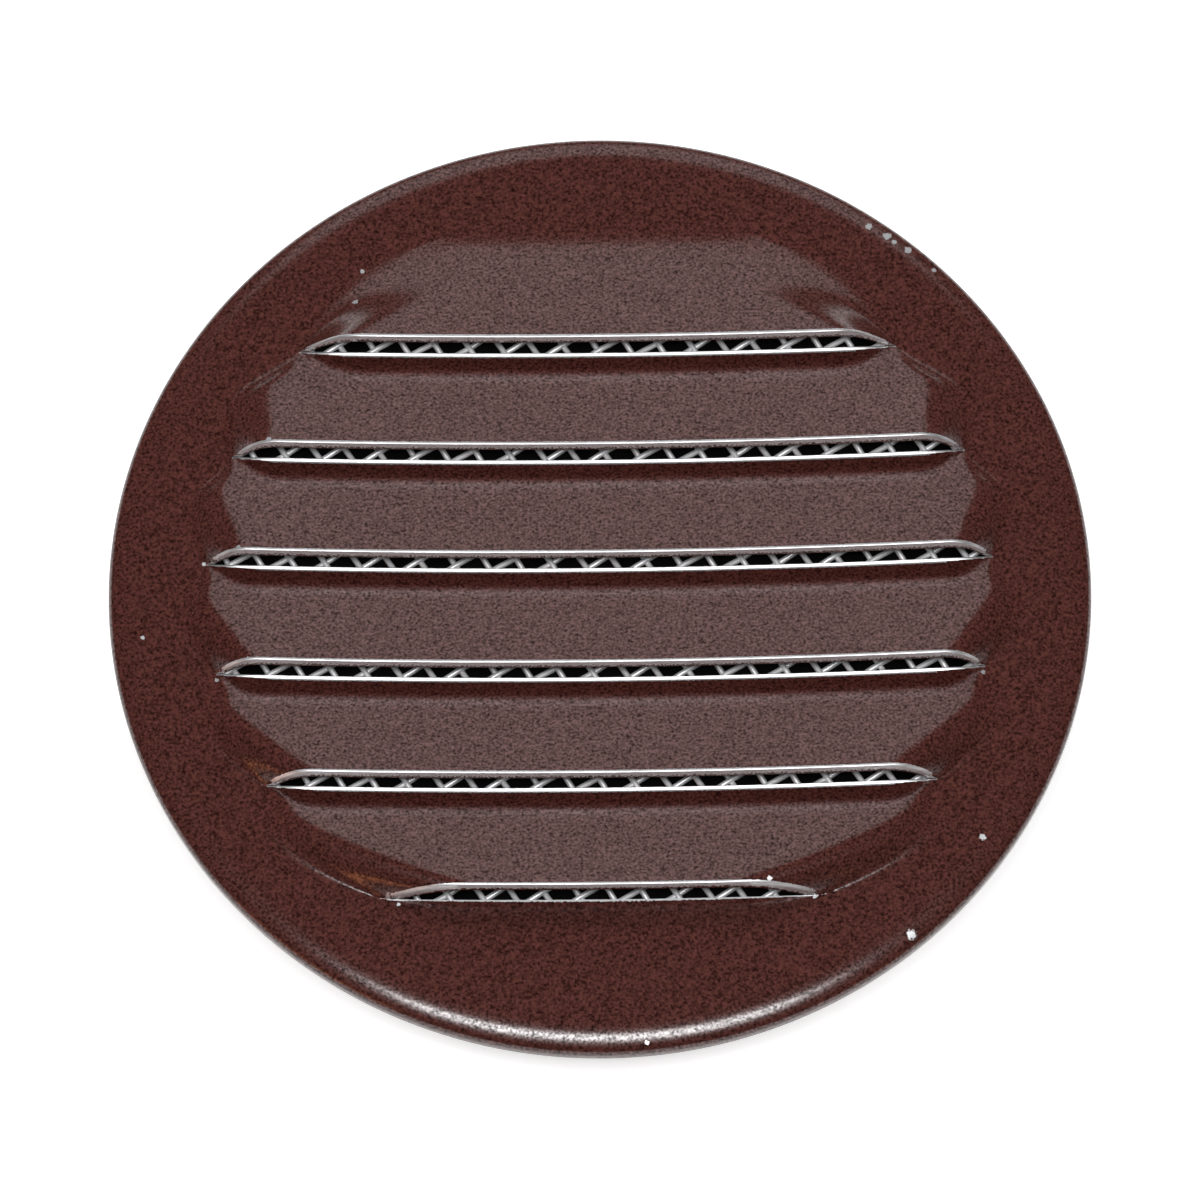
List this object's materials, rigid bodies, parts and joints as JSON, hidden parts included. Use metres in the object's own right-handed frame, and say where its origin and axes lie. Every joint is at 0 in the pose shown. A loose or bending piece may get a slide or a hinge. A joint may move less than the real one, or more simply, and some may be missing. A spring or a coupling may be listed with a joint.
{
  "type": "mini louver",
  "caption": "Round press-in aluminium vent louver with a painted flange, lanced hoods that open downwards, an insect screen behind them and a plain collar for a bored hole.",
  "frame": {"origin": "on the collar's axis in the plane of the hem's back, which sits on the wall", "axes": "+Z out of the wall towards the viewer, +Y towards the louver's top edge, hoods open towards -Y"},
  "size_m": [0.0572, 0.0572, 0.0104],
  "materials": {
    "painted_face": "semi-gloss brown paint on aluminium sheet, bare at the sheared edges",
    "screen_wire": "bright drawn wire, woven",
    "mill_sheet": "mill finish, drawn"
  },
  "bodies": {
    "root": {"louver_face": "painted_face", "insect_screen": "screen_wire", "collar": "mill_sheet"}
  },
  "joints": []
}
